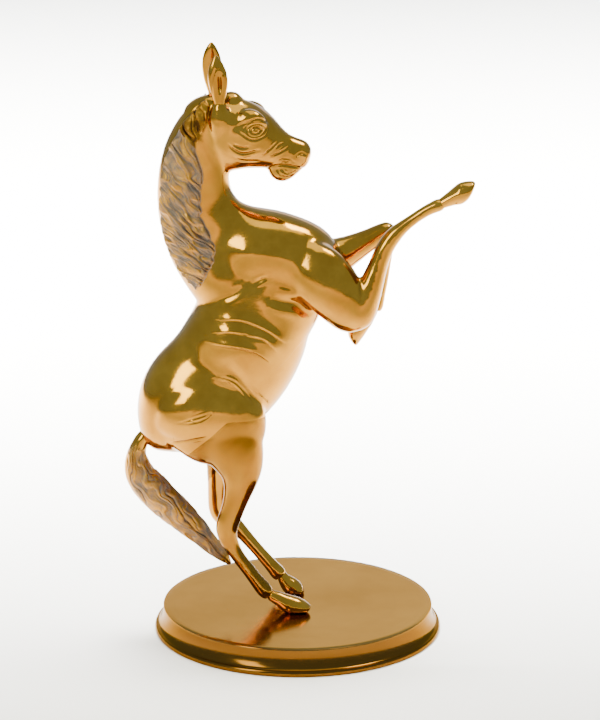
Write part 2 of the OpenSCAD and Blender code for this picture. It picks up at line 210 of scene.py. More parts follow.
NECK = [
    [-19, 0, 166, 12, 10], [-23, 0, 173, 21, 15], [-31, 0, 187, 23.5, 16.5], [-41, 0, 203, 23.8, 15],
    [-49, 0, 219, 20.3, 13], [-51.5, 0, 235, 17.4, 11.5], [-49.3, 0, 248, 16.4, 11],
    [-46, 0, 258, 14.8, 10.5], [-42.5, 0, 266, 12, 9], [-39, 0, 272, 5, 5],
]
SKULL = [
    [-46, 0, 258, 5, 5], [-43, 0, 258.6, 12.4, 9.5], [-37, 0, 258.5, 17.5, 12.3],
    [-29, 0, 257.4, 18.1, 13], [-22, 0, 255.4, 16.1, 12.4], [-16, 0, 252.7, 13.1, 10.2],
    [-10, 0, 250.2, 10.2, 7.8], [-4.5, 0, 248.6, 8.3, 6.8], [0, 0, 247.5, 7.8, 6.7],
    [3.4, 0, 246.7, 6.9, 6], [5.6, 0, 246.2, 4.4, 4], [6.3, 0, 246, 1.4, 1.5],
]
CHIN = [
    [-13.8, 0, 243.6, 1.5, 2], [-11.6, 0, 241, 3.8, 4], [-8.4, 0, 238.6, 5.4, 5.4],
    [-4.6, 0, 240.4, 5, 5.8], [-0.4, 0, 243.4, 4.2, 5.6], [3, 0, 245.4, 2.4, 3],
]
FORELOCK = [
    [-36.4, 0, 271.5, 2, 2], [-34.6, 0, 272.8, 5.4, 5], [-31.8, 0, 273.7, 6, 5.6],
    [-28.8, 0, 271.6, 4, 4.6], [-27.2, 0, 271, 1, 1.5],
]
POLL = [
    [-54, 0, 262, 3, 3], [-51, 0, 266, 6.4, 6], [-47, 0, 269.6, 7, 6.5], [-42, 0, 271.6, 6.4, 6.5],
    [-38, 0, 272.4, 5.6, 6], [-35, 0, 272.4, 4, 5], [-33, 0, 272.2, 1, 1],
]
BROW = [
    [-31, 7.5, 267.6, 1, 1], [-27.6, 8.4, 267.9, 3.8, 3.2], [-23, 8.8, 268, 5.1, 3.6],
    [-18.4, 8, 265.4, 4.1, 3.2], [-15, 7, 263, 1, 1],
]
EAR_ROOT = [
    [-36.6, 6.4, 255, 5, 4], [-37, 7.2, 260, 6.6, 5], [-37.6, 7.8, 265, 6, 4.8], [-38, 8.5, 269, 4.9, 4.2],
    [-38, 9.1, 272.4, 3.9, 3.6], [-37.9, 9.4, 275.4, 3.2, 3.1], [-37.9, 9.5, 277, 1.2, 1.2],
]
RIGHT_ARM = [
    [-6, -8, 193, 9, 5], [3, -11, 192.5, 15, 9], [12, -13.5, 188, 15.8, 10.5],
    [18.5, -15, 180.5, 14.3, 10.3], [23.5, -15.5, 172.5, 11.6, 9], [27, -15.5, 166, 8.3, 7],
    [29.3, -15.5, 161.8, 3, 3],
]
RIGHT_SHANK = [
    [26.6, -15.5, 162, 2.5, 3], [29.5, -15.5, 168, 7.6, 7], [33, -15.5, 176.5, 7.4, 6.8],
    [36.5, -15, 186, 6, 5.7], [39.7, -14.5, 195.3, 4.8, 4.8], [42.8, -14, 203.3, 4.5, 4.6],
    [46.8, -13.5, 209.4, 4.2, 4.4], [51.5, -13, 213.9, 3.3, 3.6], [56, -12.7, 217.3, 2.9, 3.1],
    [61, -12.4, 220.8, 2.8, 3], [66, -12.2, 223.6, 3, 3.2], [70, -12, 225.2, 3.3, 3.4],
    [72, -12, 226.2, 2, 2.2],
]
LEFT_ARM = [
    [-6, 8, 191, 9, 5], [3, 10, 189, 13.5, 8.5], [12, 11.5, 189.3, 12, 9], [20, 13, 191.5, 9.5, 8],
    [28, 13.5, 195.5, 7.3, 6.6], [36, 13.5, 200, 5.6, 5.4], [42, 13.5, 203.5, 4.8, 4.8],
    [46, 13.5, 205.8, 3.7, 4], [47.8, 13.5, 206.8, 1, 1.2],
]
LEFT_SHANK = [
    [44, 13.5, 207.5, 1.5, 2], [44.4, 13.5, 203, 3.8, 4], [44.3, 13.5, 195, 3.4, 3.5],
    [43.3, 13.5, 186, 3, 3.1], [42, 13.5, 177, 2.9, 3], [40.6, 13.5, 170, 3, 3.1],
    [39.3, 13.5, 165, 3.5, 3.5], [38.3, 13.5, 162.3, 2.2, 2.4],
]
RIGHT_HAUNCH = [
    [-69.5, -9, 108.5, 4, 4], [-62, -12, 114, 14, 10], [-51, -13, 117.5, 19, 12.5],
    [-39, -13, 117.5, 20, 13], [-29, -12.8, 114, 17.5, 12], [-21.5, -12.4, 109, 10, 8],
    [-17, -12, 105.5, 2, 2],
]
RIGHT_GASKIN = [
    [-38, -12.5, 118, 11, 10], [-34, -13, 106, 15.8, 11.8], [-30, -13.7, 95, 13.8, 10.4],
    [-28.4, -14, 87, 10.7, 8.2], [-29.2, -14, 79.4, 7.8, 6.6], [-31.3, -14, 71.4, 6.2, 5.6],
    [-33.5, -14, 64.4, 5.7, 5], [-35.4, -14, 58.6, 5.6, 4.6], [-34.8, -14, 52.6, 4.8, 4.3],
    [-31.8, -14, 46, 3.7, 3.8], [-28, -14, 40.2, 3.3, 3.5], [-24, -14, 34.9, 3.4, 3.5],
    [-20, -14, 29.2, 3.6, 3.6], [-16.2, -14, 24.3, 4, 3.8], [-13.8, -14, 21.4, 2.6, 2.6],
]
BUTTOCK = [
    [-69.5, 8, 105.5, 4, 4], [-61, 10.5, 109.5, 14, 8.5], [-50, 11.5, 111, 19.8, 10.5],
    [-38, 11.5, 111, 21, 11], [-28, 11.5, 108.5, 17.5, 10], [-20.5, 11.5, 106, 9, 7],
    [-16.5, 11.5, 104.5, 2, 2],
]
LEFT_HAUNCH = [
    [-70.5, 9, 107.5, 4, 4], [-63.5, 12, 113, 14, 10], [-53, 13, 116.5, 19, 12.5],
    [-41, 13, 116.5, 20, 13], [-31, 12.8, 113, 17.5, 12], [-23.5, 12.4, 108, 10, 8],
    [-19, 12, 104.5, 2, 2],
]
LEFT_GASKIN = [
    [-39, 12.5, 116, 11, 10], [-36.4, 13, 105, 15.6, 11.8], [-34.8, 13.7, 93, 13.4, 10.4],
    [-35.4, 14, 84, 11, 8.2], [-36.8, 14, 75, 8.8, 6.8], [-38, 14, 66.5, 7.4, 5.9],
    [-38.6, 14, 60, 6.6, 5.2], [-38, 14, 55.8, 6, 4.8], [-35, 14, 52.6, 5, 4.4],
    [-31, 14, 48.8, 4.1, 4], [-27, 14, 44.3, 3.5, 3.6], [-22, 14, 38.3, 3.2, 3.4],
    [-17, 14, 32.3, 3.2, 3.4], [-12.6, 14, 27, 3.5, 3.6], [-9.6, 14, 23.4, 4, 3.8],
    [-7.8, 14, 21.2, 2.6, 2.6],
]
TAIL = [
    [-72, 0, 106, 2, 2], [-76.5, 0, 101.5, 3.6, 3.6], [-79.6, 0, 96, 4, 4], [-80.8, 0, 90, 5.4, 5],
    [-79.6, 0, 83, 7.2, 6], [-75.5, 0, 76.5, 8.2, 6.6], [-69.5, 0, 70, 8.4, 6.8],
    [-63, 0, 63.5, 7.9, 6.4], [-56, 0, 57, 6.8, 5.6], [-49, 0, 50, 5.5, 4.6], [-42.5, 0, 43, 4, 3.6],
    [-37, 0, 37.4, 2.6, 2.6], [-33.8, 0, 33.6, 0.6, 0.8],
]
RIGHT_EAR = [
    [-38, -6.6, 265, 5.6, 4], [-38, -8.2, 270.4, 3.7, 2.9], [-37.9, -9.4, 275.6, 2.8, 2.2],
    [-38.4, -10.3, 282, 4.1, 2.4], [-38.8, -10.6, 288, 4.9, 2.2], [-39.3, -10.4, 293.5, 4.1, 1.8],
    [-39.7, -10, 297.5, 2.3, 1.3], [-39.9, -9.8, 300, 0.5, 0.5],
]
LEFT_EAR = [
    [-38.6, 6.6, 265, 5.6, 4], [-39.8, 8, 270.4, 3.7, 2.9], [-40.8, 9.2, 276, 2.9, 2.2],
    [-41.6, 9.6, 283, 4.4, 2.4], [-42, 9.6, 290, 4.9, 2.2], [-42.2, 9.2, 295.5, 4.1, 1.8],
    [-42.2, 8.8, 299.6, 2.3, 1.3], [-42.3, 8.6, 302, 0.5, 0.5],
]


def mirrored(stations):
    """The same limb on the other side."""
    return [[x, -y, z, deep, wide] for x, y, z, deep, wide in stations]


# ---------------------------------------------------------------- clay

def smoothstep(low, high, value):
    """A soft step from 0 at the low value to 1 at the high one."""
    t = np.clip((value - low) / (high - low), 0, 1)
    return t * t * (3 - 2 * t)


RELAX = 0.5             # how far a pass of smoothing moves a corner to the middle of its neighbours
SPRING_BACK = -0.53     # and how far the next pass moves it back, so that the shape keeps its size


def bell(distance, width):
    """A soft bump: 1 in its middle, falling away within a few widths."""
    return np.exp(-(distance / width) ** 2)


class Clay:
    """A piece's mesh as arrays in millimetres, pushed and smoothed like clay, then put back."""

    def __init__(self, piece):
        self.piece = piece
        mesh = piece.data
        self.count = len(mesh.vertices)
        place = np.empty(self.count * 3)
        mesh.vertices.foreach_get("co", place)
        self.place = place.reshape(-1, 3) / MM
        ends = np.empty(len(mesh.edges) * 2, np.int64)
        mesh.edges.foreach_get("vertices", ends)
        ends = ends.reshape(-1, 2)
        self.one = np.concatenate([ends[:, 0], ends[:, 1]])
        self.other = np.concatenate([ends[:, 1], ends[:, 0]])
        self.near_count = np.maximum(np.bincount(self.one, minlength=self.count), 1)
        self.feel()

    def feel(self):
        """Puts the shape back in the piece and reads its normals."""
        mesh = self.piece.data
        mesh.vertices.foreach_set("co", (self.place * MM).ravel())
        mesh.update()
        normal = np.empty(self.count * 3, np.float32)
        mesh.vertices.foreach_get("normal", normal)
        self.normal = normal.reshape(-1, 3).astype(float)

    def neighbours(self, value):
        """The mean of a value over each corner's neighbours."""
        if value.ndim == 1:
            return np.bincount(self.one, value[self.other], self.count) / self.near_count
        return np.stack([self.neighbours(value[:, k]) for k in range(value.shape[1])], 1)

    def smooth(self, times, where=1.0, keep_size=True):
        """Smooths the shape where it is asked to, with or without keeping its size."""
        where = np.broadcast_to(where, self.count)[:, None]
        for turn in range(times):
            strength = SPRING_BACK if keep_size and turn % 2 else RELAX
            self.place += where * strength * (self.neighbours(self.place) - self.place)
        self.feel()

    def push(self, amount):
        """Moves each corner along its normal by an amount in millimetres."""
        self.place += self.normal * np.asarray(amount)[:, None]

    def on_side(self, side):
        """1 where the surface faces the given side, falling to 0 where it turns away."""
        return smoothstep(0.0, 0.35, self.normal[:, 1] * side) * (self.place[:, 1] * side > -0.5)

    def along(self, points, reach):
        """Where corners lie along a line in the side view.

        Gives their indices, their distance, the distance with its side, and the share of the line.
        """
        line = smooth_line(points, 4) if len(points) > 2 else np.array(points, float)
        x, z = self.place[:, 0], self.place[:, 2]
        low, high = line.min(0) - reach, line.max(0) + reach
        chosen = np.nonzero((x > low[0]) & (x < high[0]) & (z > low[1]) & (z < high[1]))[0]
        here = np.stack([x[chosen], z[chosen]], 1)
        best = np.full(len(chosen), 1e9)
        signed = np.zeros(len(chosen))
        share = np.zeros(len(chosen))
        length = np.concatenate([[0], np.cumsum(np.linalg.norm(np.diff(line, axis=0), axis=1))])
        for i in range(len(line) - 1):
            step = line[i + 1] - line[i]
            size = max(np.linalg.norm(step), 1e-6)
            t = np.clip(((here - line[i]) @ step) / size ** 2, 0, 1)
            gap = here - line[i] - t[:, None] * step
            distance = np.linalg.norm(gap, axis=1)
            closer = distance < best
            best = np.where(closer, distance, best)
            signed = np.where(closer, np.sign(step[0] * gap[:, 1] - step[1] * gap[:, 0]) * distance, signed)
            share = np.where(closer, (length[i] + t * size) / length[-1], share)
        return chosen, best, signed, share

    def press(self, points, width, height, side=BOTH, kind="groove", ends=0.6):
        """Draws one mark along a line in the side view: a groove, a ridge or a one-sided fold of skin."""
        for face in faces(side):
            chosen, distance, signed, share = self.along(points, width * 4)
            taper = np.sin(np.clip(share, 0.02, 0.98) * math.pi) ** ends
            if kind == "fold":
                soft_side = bell(signed, 2.2 * width)
                steep_side = 1.35 * bell(signed, 0.45 * width) - 0.35 * bell(signed, 1.6 * width)
                profile = np.where(signed > 0, soft_side, steep_side)
            elif kind == "groove":
                raised_lips = 0.3 * bell(distance - 1.9 * width, 0.9 * width)
                profile = raised_lips - bell(distance, width)
            else:
                profile = bell(distance, width)
            amount = np.zeros(self.count)
            amount[chosen] = profile * taper * height
            self.push(amount * self.on_side(face))

    def swell(self, x, z, long, tall, height, side=BOTH, tilt=0.0):
        """Raises a soft muscle, or sinks a hollow if the height is negative, seen from the side."""
        for face in faces(side):
            dx, dz = self.place[:, 0] - x, self.place[:, 2] - z
            turn = math.radians(tilt)
            u = (dx * math.cos(turn) + dz * math.sin(turn)) / long
            v = (-dx * math.sin(turn) + dz * math.cos(turn)) / tall
            self.push(np.exp(-(u * u + v * v)) * height * self.on_side(face))

    def ripple(self, spot, squash, tilt, profile, side=BOTH):
        """Raises rings round a spot. The profile gives the height at each distance along the long axis."""
        for face in faces(side):
            turn = math.radians(tilt)
            dx, dz = self.place[:, 0] - spot[0], self.place[:, 2] - spot[1]
            u = dx * math.cos(turn) + dz * math.sin(turn)
            v = (-dx * math.sin(turn) + dz * math.cos(turn)) / squash
            away = np.hypot(u, v)
            height = np.interp(away, [p[0] for p in profile], [p[1] for p in profile])
            self.push(height * self.on_side(face))

    def recess(self, times=16, full=0.2, extra=0.0):
        """Stores how deep each corner lies in a hollow, where polishing doesn't reach."""
        soft = self.place.copy()
        for _ in range(times):
            soft += RELAX * (self.neighbours(soft) - soft)
        depth = np.einsum("ij,ij->i", soft - self.place, self.normal)
        store(self.piece, "recess", np.maximum(smoothstep(0.015, full, depth), extra))


def faces(side):
    """The sides that a mark is made on."""
    return (RIGHT, LEFT) if side == BOTH else (side,)


def store(piece, name, value):
    """Keeps a value for each corner of a piece, for its material to read."""
    layer = piece.data.attributes.get(name) or piece.data.attributes.new(name, "FLOAT", "POINT")
    layer.data.foreach_set("value", np.asarray(value, np.float32))


def noise_at(places, scale, seed=0.0):
    """Smooth noise from -1 to 1 at each place; the scale is the size of its lumps in millimetres."""
    shift = Vector((seed * 7.3, seed * 3.1, seed * 5.7))
    return np.array([noise.noise(Vector(p) / scale + shift) for p in places])


def distance_to(here, line):
    """How far each point of the side view lies from a line."""
    near = np.full(len(here), 1e9)
    for a, b in zip(line, line[1:]):
        step = b - a
        t = np.clip(((here - a) @ step) / max(step @ step, 1e-9), 0, 1)
        near = np.minimum(near, np.linalg.norm(here - a - t[:, None] * step, axis=1))
    return near


def depth_inside(here, outline):
    """How far each point of the side view lies inside a closed outline; below zero outside it."""
    inside = np.zeros(len(here), bool)
    for a, b in zip(outline, np.roll(outline, -1, 0)):
        crosses = (a[1] > here[:, 1]) != (b[1] > here[:, 1])
        rise = b[1] - a[1] if b[1] != a[1] else 1e-9
        inside ^= crosses & (here[:, 0] < a[0] + (here[:, 1] - a[1]) / rise * (b[0] - a[0]))
    near = distance_to(here, np.concatenate([outline, outline[:1]]))
    return np.where(inside, near, -near)


# ---------------------------------------------------------------- the figure

VOXEL = 0.7         # size of the clay's grain before the chased regions are made finer

# Softening after the limbs are joined: place in the side view, reach, number of passes.
BLENDS = [
    ((5, 185), 24, 60), ((-45, 114), 26, 45), ((-30, 195), 24, 60), ((-26, 267), 10, 24),
    ((-9, 245), 6, 16), ((-37, 266), 6, 18), ((-40, 250), 10, 30), ((-41, 222), 16, 60),
    ((-30, 214), 11, 70), ((-30, 224), 9, 220), ((-20, 219), 9, 220),
]

# Folds of skin over the ribs, from the back down to the belly.
RIB_FOLDS = [
    [(-38.2, 168.1), (-30.3, 168.9), (-23.2, 167.4), (-14.4, 163.1), (-6.1, 156.5)],
    [(-39.5, 161.7), (-35, 162.6), (-31.1, 162.6), (-27, 162.1)],
    [(-24.5, 161.5), (-17.1, 159.5), (-13, 156), (-9.6, 151.7)],
    [(-42.6, 156.2), (-34.7, 155.7), (-25.9, 154.6), (-18.9, 151.6), (-12.7, 145.8)],
]
# The flank: where the belly tucks in over the thigh, and the fine folds beside it.
FLANK_EDGE = [(-34, 145.6), (-30.5, 141), (-26, 134.7), (-22, 127.5), (-19.4, 121)]
FLANK_FOLDS = [
    [(-40.3, 138.2), (-33.7, 136.6), (-28, 131.6), (-22, 122.7)],
    [(-38.3, 140), (-31.6, 137.9), (-26.4, 132.6), (-20.6, 123.6)],
]
# Short cuts on the haunch.
UPPER_HAUNCH_CUTS = [
    [(-59.1, 115.8), (-49.8, 119.4), (-42.7, 121.8)],
    [(-57.5, 115.6), (-48.5, 117.6), (-42.7, 121.2)],
]
LOWER_HAUNCH_CUT = [(-63.3, 103.3), (-55.2, 106), (-44.1, 109.2)]
# Marks on the shoulder: a wide one along the blade, and a nick before it.
BLADE_MARK = [(-36.5, 178.4), (-31.1, 181.1), (-26.4, 184.6)]
SHOULDER_NICK = [(-21.4, 186.6), (-18, 188.4), (-14.6, 189.8)]
# A wide soft valley under the upper arm.
ARMPIT_VALLEY = [(-13, 180.5), (-8.3, 177.6), (0.5, 174.6), (7.5, 167)]

EYE = (-20.3, 262.7)
# Rings of the eye and its lids: distance from the eye's middle, height.
EYE_RINGS = [(0, 0.35), (0.9, 0.42), (1.6, 0.28), (2.2, -0.3), (2.8, 0.12), (3.4, 0.3), (3.9, 0.06),
             (4.3, -0.18), (5, 0.14), (5.6, 0.1), (6.1, -0.12), (6.8, 0.05), (8.5, 0)]
LID_FOLDS = [
    [(-28.5, 262.4), (-26.4, 260.6), (-23.9, 258.7), (-20.4, 257.9), (-16.1, 259.4)],
    [(-28.6, 265.2), (-25.3, 266.4), (-19.6, 268.6), (-14.4, 266), (-12.9, 262)],
]
BROW_LINE = [(-34, 265.2), (-29, 267), (-24, 268.8), (-19, 269.6), (-14.6, 267.2)]
CHEEK_FOLDS = [
    [(-34.6, 256.8), (-31.1, 253.1), (-26.8, 250.9), (-21.8, 251.8), (-18.6, 252.6)],
    [(-31.6, 256.4), (-29, 254.6), (-26.2, 254), (-23.4, 254.8)],
]
JAW_FOLD = [(-32.6, 250.1), (-29, 247.8), (-25.4, 246.8), (-19, 246.5)]
MUZZLE_FOLDS = [
    [(-17.2, 249), (-14, 252), (-10, 255.8)],
    [(-13.8, 248.2), (-8.2, 250.6), (-3.4, 253.6)],
    [(-10.8, 252.6), (-8.4, 254.4), (-6.2, 255)],
]
NOSTRIL = [(-0.9, 247.4), (0.3, 249.2), (2.3, 249.8), (4.6, 248.2)]
MOUTH = [(-14, 241.7), (-10.5, 243), (-6, 243.4), (-1, 242.6), (2.6, 240.9)]
CHIN_FOLDS = [
    [(-9.6, 241), (-8.6, 238.6), (-5.6, 237), (-2.4, 238.4)],
    [(-7.6, 241.6), (-6.4, 239.8), (-4, 239), (-1.4, 240.2)],
]
LIP_FOLDS = [
    [(-9.6, 245.6), (-6.6, 247), (-3.4, 246.4), (-1.4, 244.2)],
    [(-8, 244.4), (-6, 245.4), (-4, 244.8)],
]
JAW_EDGE = [(-41.5, 267), (-44.4, 261.3), (-43.4, 254.6), (-40, 248.6), (-35.4, 243.6)]

# The mane lies between the smooth crest of the neck and its own front edge.
CREST = [(-45, 276.5), (-48.4, 273.2), (-55.6, 265.5), (-61.4, 255), (-65.2, 245.8), (-67, 236.8),
         (-67.6, 225.6), (-67.1, 214.3), (-63.8, 200.9), (-58, 190), (-51, 180.5)]
MANE_FRONT = [(-43.6, 274), (-43.9, 269), (-45.8, 264.2), (-49, 257), (-49.6, 249.5), (-47.4, 240),
              (-48, 229), (-47.4, 217.5), (-43.8, 210.3), (-41.4, 203.4), (-42, 197), (-46.1, 188.6),
              (-49.5, 180.5)]
# How hair falls: at each height, its lean from upright in degrees.
HAIR_HEIGHTS = [176, 198, 212, 230, 245, 262, 280]
HAIR_LEANS = [62, 55, 47, 37, 26, 14, 4]


def block_out():
    """The foal in one skin, before it is cut into castings. Feet, ears and tail are made apart."""
    limbs = [
        limb("trunk", TRUNK), limb("breast", BREAST), limb("neck_core", NECK), limb("skull", SKULL),
        limb("chin", CHIN), limb("forelock", FORELOCK), limb("poll", POLL),
        limb("left_brow", BROW), limb("right_brow", mirrored(BROW)), limb("left_ear_root", EAR_ROOT),
        limb("right_ear_root", mirrored(EAR_ROOT)), limb("right_arm", RIGHT_ARM),
        limb("left_arm", LEFT_ARM), limb("right_shank", RIGHT_SHANK), limb("left_shank", LEFT_SHANK),
        limb("right_haunch", RIGHT_HAUNCH), limb("left_haunch", LEFT_HAUNCH),
        limb("right_gaskin", RIGHT_GASKIN), limb("left_gaskin", LEFT_GASKIN),
        limb("left_buttock", BUTTOCK), limb("right_buttock", mirrored(BUTTOCK)),
    ]
    foal = join("foal", limbs)
    finish_with(foal, "REMESH", mode="VOXEL", voxel_size=VOXEL * MM)
    return keep_largest(foal)


def refine(piece, low=98, front=13):
    """Halves the faces above one height and behind one x: the trunk, neck and head carry fine marks."""
    mesh = piece.data
    middles = np.empty(len(mesh.polygons) * 3)
    mesh.polygons.foreach_get("center", middles)
    middles = middles.reshape(-1, 3) / MM
    chosen = (middles[:, 2] > low) & (middles[:, 0] < front)
    pick(piece)
    bpy.ops.object.mode_set(mode="EDIT")
    bpy.ops.mesh.select_mode(type="FACE")
    bpy.ops.mesh.select_all(action="DESELECT")
    bpy.ops.object.mode_set(mode="OBJECT")
    mesh.polygons.foreach_set("select", chosen)
    bpy.ops.object.mode_set(mode="EDIT")
    bpy.ops.mesh.subdivide(number_cuts=1)
    bpy.ops.mesh.select_mode(type="VERT")
    bpy.ops.object.mode_set(mode="OBJECT")


def model_foal():
    """The whole foal from the neck's hair to the hocks, modelled in one skin."""
    foal = block_out()
    clay = Clay(foal)
    clay.smooth(60)
    for (x, z), reach, times in BLENDS:
        here = np.exp(-((clay.place[:, 0] - x) ** 2 + (clay.place[:, 2] - z) ** 2) / reach ** 2)
        clay.smooth(times, where=here, keep_size=False)
    refine(foal)
    clay = Clay(foal)
    clay.smooth(10)
    sculpt_body(clay)
    sculpt_head(clay)
    clay.smooth(2)
    grooves = comb_mane(clay)
    clay.feel()
    clay.recess(extra=grooves)
    return foal


# Muscles and hollows seen from the side: x, z, half length, half height, rise, tilt in degrees.
MUSCLES = [
    (-50, 143, 15, 5, -0.5, 0),     # hollow of the loin
    (-55, 131, 13, 6, 0.5, 0),      # point of the hip
    (-41, 203, 9, 13, -1.1, 0),     # hollow before the withers
    (-33, 208, 9, 8, -0.8, 0),      # hollow at the root of the neck
    (-40, 236, 9, 9, 1.1, 0),       # side of the neck
    (-16, 156, 13, 7, 0.8, 0),      # lower ribs
    (-37, 267, 7, 5, 1.4, 0),       # under the ear
    (-27, 261, 8, 5, 0.5, 0),       # temple
    (-40, 172, 9, 16, 0.5, 15),     # upper ribs
    (-22, 203, 12, 5, 0.7, -8),     # side of the breast
    (-34, 184, 16, 10, 1.5, 22),    # shoulder blade
]


def sculpt_body(clay):
    """Muscle and folds of skin on the trunk, the same on both sides."""
    for x, z, long, tall, rise, tilt in MUSCLES:
        clay.swell(x, z, long, tall, rise, tilt=tilt)
    clay.press(ARMPIT_VALLEY, width=2.6, height=1.5)
    clay.feel()
    clay.press(FLANK_EDGE, width=2.4, height=0.8)
    clay.press(JAW_EDGE, width=2.6, height=0.4)
    clay.smooth(6, keep_size=False)
    for fold in RIB_FOLDS:
        clay.press(fold, width=1.0, height=0.62, kind="fold")
    for fold in FLANK_FOLDS:
        clay.press(fold, width=0.7, height=0.4, kind="fold")
    for cut in UPPER_HAUNCH_CUTS:
        clay.press(cut, width=0.55, height=0.22)
    clay.press(LOWER_HAUNCH_CUT, width=0.55, height=0.4)
    clay.press(BLADE_MARK, width=1.6, height=0.3)
    clay.press(SHOULDER_NICK, width=1.0, height=0.5)
    clay.feel()


def sculpt_head(clay):
    """Eyes, brow, cheeks, nostrils and mouth, the same on both sides."""
    clay.press(BROW_LINE, width=1.5, height=0.5, kind="ridge")
    clay.feel()
    clay.ripple(EYE, squash=0.74, tilt=8, profile=EYE_RINGS)
    for fold in LID_FOLDS:
        clay.press(fold, width=0.55, height=0.42)
    for fold in CHEEK_FOLDS:
        clay.press(fold, width=0.65, height=0.6)
    clay.press(JAW_FOLD, width=0.6, height=0.25)
    for fold in MUZZLE_FOLDS:
        clay.press(fold, width=0.5, height=0.42)
    clay.swell(1.9, 248.6, long=2.6, tall=1.6, height=0.5)
    clay.feel()
    clay.press(NOSTRIL, width=0.6, height=0.7)
    clay.press(MOUTH, width=0.6, height=0.5, ends=0.3)
    for fold in CHIN_FOLDS + LIP_FOLDS:
        clay.press(fold, width=0.45, height=0.3)
    clay.feel()


def ridges(turns):
    """Rounded ridges with sharp valleys between them, one for each turn; 0 in a valley, 1 on a ridge."""
    return np.abs(np.sin(math.pi * turns)) ** 0.7


# Spacing of the mane's locks, strands and hairs across their fall.
LOCK, STRAND, HAIR = 6.4, 2.3, 1.2


def comb_mane(clay):
    """Raises the mane and combs it into locks and strands. Returns how deep in a groove each corner is."""
    x, y, z = clay.place.T
    lowest, highest, foremost = 176, 280, -38
    near = np.nonzero((z > lowest) & (z < highest) & (x < foremost))[0]
    here = np.stack([x[near], z[near]], 1)
    front, crest = smooth_line(MANE_FRONT, 4), smooth_line(CREST, 4)
    depth = depth_inside(here, np.concatenate([front, crest[::-1]]))
    heights = np.arange(170.0, 292.0)
    lean = np.radians(np.interp(heights, HAIR_HEIGHTS, HAIR_LEANS))
    run = np.cumsum(np.tan(lean)[::-1])[::-1]
    fall = np.cumsum((1 / np.cos(lean))[::-1])[::-1]
    across = here[:, 0] - np.interp(here[:, 1], heights, run)
    along = np.interp(here[:, 1], heights, fall)
    side = np.sign(y[near]) * 40

    def drawn_out(wide, long, seed):
        """Noise whose lumps lie along the hair."""
        return noise_at(np.stack([across / wide, along / long, side], 1), 1, seed)

    wander = drawn_out(8, 15, 3)
    curl = drawn_out(3.6, 5.5, 9)
    ripple = drawn_out(2.6, 9, 5)
    tufts = drawn_out(5, 6, 7)
    locks = ridges(across / LOCK + 1.1 * wander + 0.35 * curl)
    strands = ridges(across / STRAND + 2.0 * wander + 0.9 * curl + 0.5 * ripple)
    fine = ridges(across / HAIR + 3.0 * wander + 1.6 * curl + 1.0 * ripple)
    # The mane's front edge runs in and out with its locks.
    reach = depth + 1.6 * (locks - 0.55) * smoothstep(8, 0, distance_to(here, front))
    mask = smoothstep(0.0, 0.7, reach) * smoothstep(0, 0.8, depth + 1.2)
    mask *= smoothstep(0.3, 0.6, np.abs(clay.normal[near, 1]))
    relief = 1.15 * locks * (0.8 + 0.7 * curl) + 0.5 * strands + 0.22 * fine + 0.8 * tufts - 0.1
    amount, grooves, hair = np.zeros(clay.count), np.zeros(clay.count), np.zeros(clay.count)
    amount[near] = mask * relief
    grooves[near] = mask * np.clip(0.8 - 0.65 * locks - 0.25 * strands - 0.3 * tufts, 0, 1)
    hair[near] = mask
    clay.push(amount)
    clay.feel()
    store(clay.piece, "chased", hair)
    return grooves


# Joint planes of the castings: a point and a direction in the side view.
CUTS = {
    "neck": ((-52, 175), (-42, 47)),
    "head": ((-36, 239.5), (12, 36)),
    "arm": ((11, 163), (40, -6)),
    "right_knee": ((44.6, 206.3), (0.55, 0.83)),
    "left_knee": ((43, 200.5), (0.72, -0.5)),
    "right_fore_fetlock": ((70.2, 225.4), (0.87, 0.5)),
    "left_fore_fetlock": ((38.9, 164), (-0.4, -0.92)),
    "right_hock": ((-35, 55.5), (0.1, -1)),
    "left_hock": ((-36.5, 54), (0.35, -1)),
    "right_hind_fetlock": ((-14.6, 22.3), (0.68, -0.73)),
    "left_hind_fetlock": ((-8.8, 22.4), (0.66, -0.75)),
    "haunch": ((0, 117), (0, 1)),
    "rump": ((-61.5, 0), (1, 0)),
}

# The foal is first sawn into four blocks, and each block into its castings.
BLOCKS = {
    "front_end": [("neck", 1)],
    "arms": [("arm", 1), ("neck", -1)],
    "barrel": [("neck", -1), ("haunch", 1), ("arm", -1)],
    "hind_end": [("haunch", -1)],
}
CASTINGS = {
    "head": ("front_end", [("head", 1)]),
    "neck": ("front_end", [("head", -1)]),
    "right_foreleg": ("arms", [("middle", -1), ("right_knee", -1)]),
    "right_fore_cannon": ("arms", [("middle", -1), ("right_knee", 1), ("right_fore_fetlock", -1)]),
    "left_foreleg": ("arms", [("middle", 1), ("left_knee", -1)]),
    "left_fore_cannon": ("arms", [("middle", 1), ("left_knee", 1), ("left_fore_fetlock", -1)]),
    "body_right": ("barrel", [("middle", -1)]),
    "body_left": ("barrel", [("middle", 1)]),
    "rump": ("hind_end", [("rump", -1)]),
    "right_thigh": ("hind_end", [("rump", 1), ("middle", -1), ("right_hock", -1)]),
    "right_hind_cannon": ("hind_end", [("rump", 1), ("middle", -1), ("right_hock", 1),
                                       ("right_hind_fetlock", -1)]),
    "left_thigh": ("hind_end", [("rump", 1), ("middle", 1), ("left_hock", -1)]),
    "left_hind_cannon": ("hind_end", [("rump", 1), ("middle", 1), ("left_hock", 1),
                                      ("left_hind_fetlock", -1)]),
}


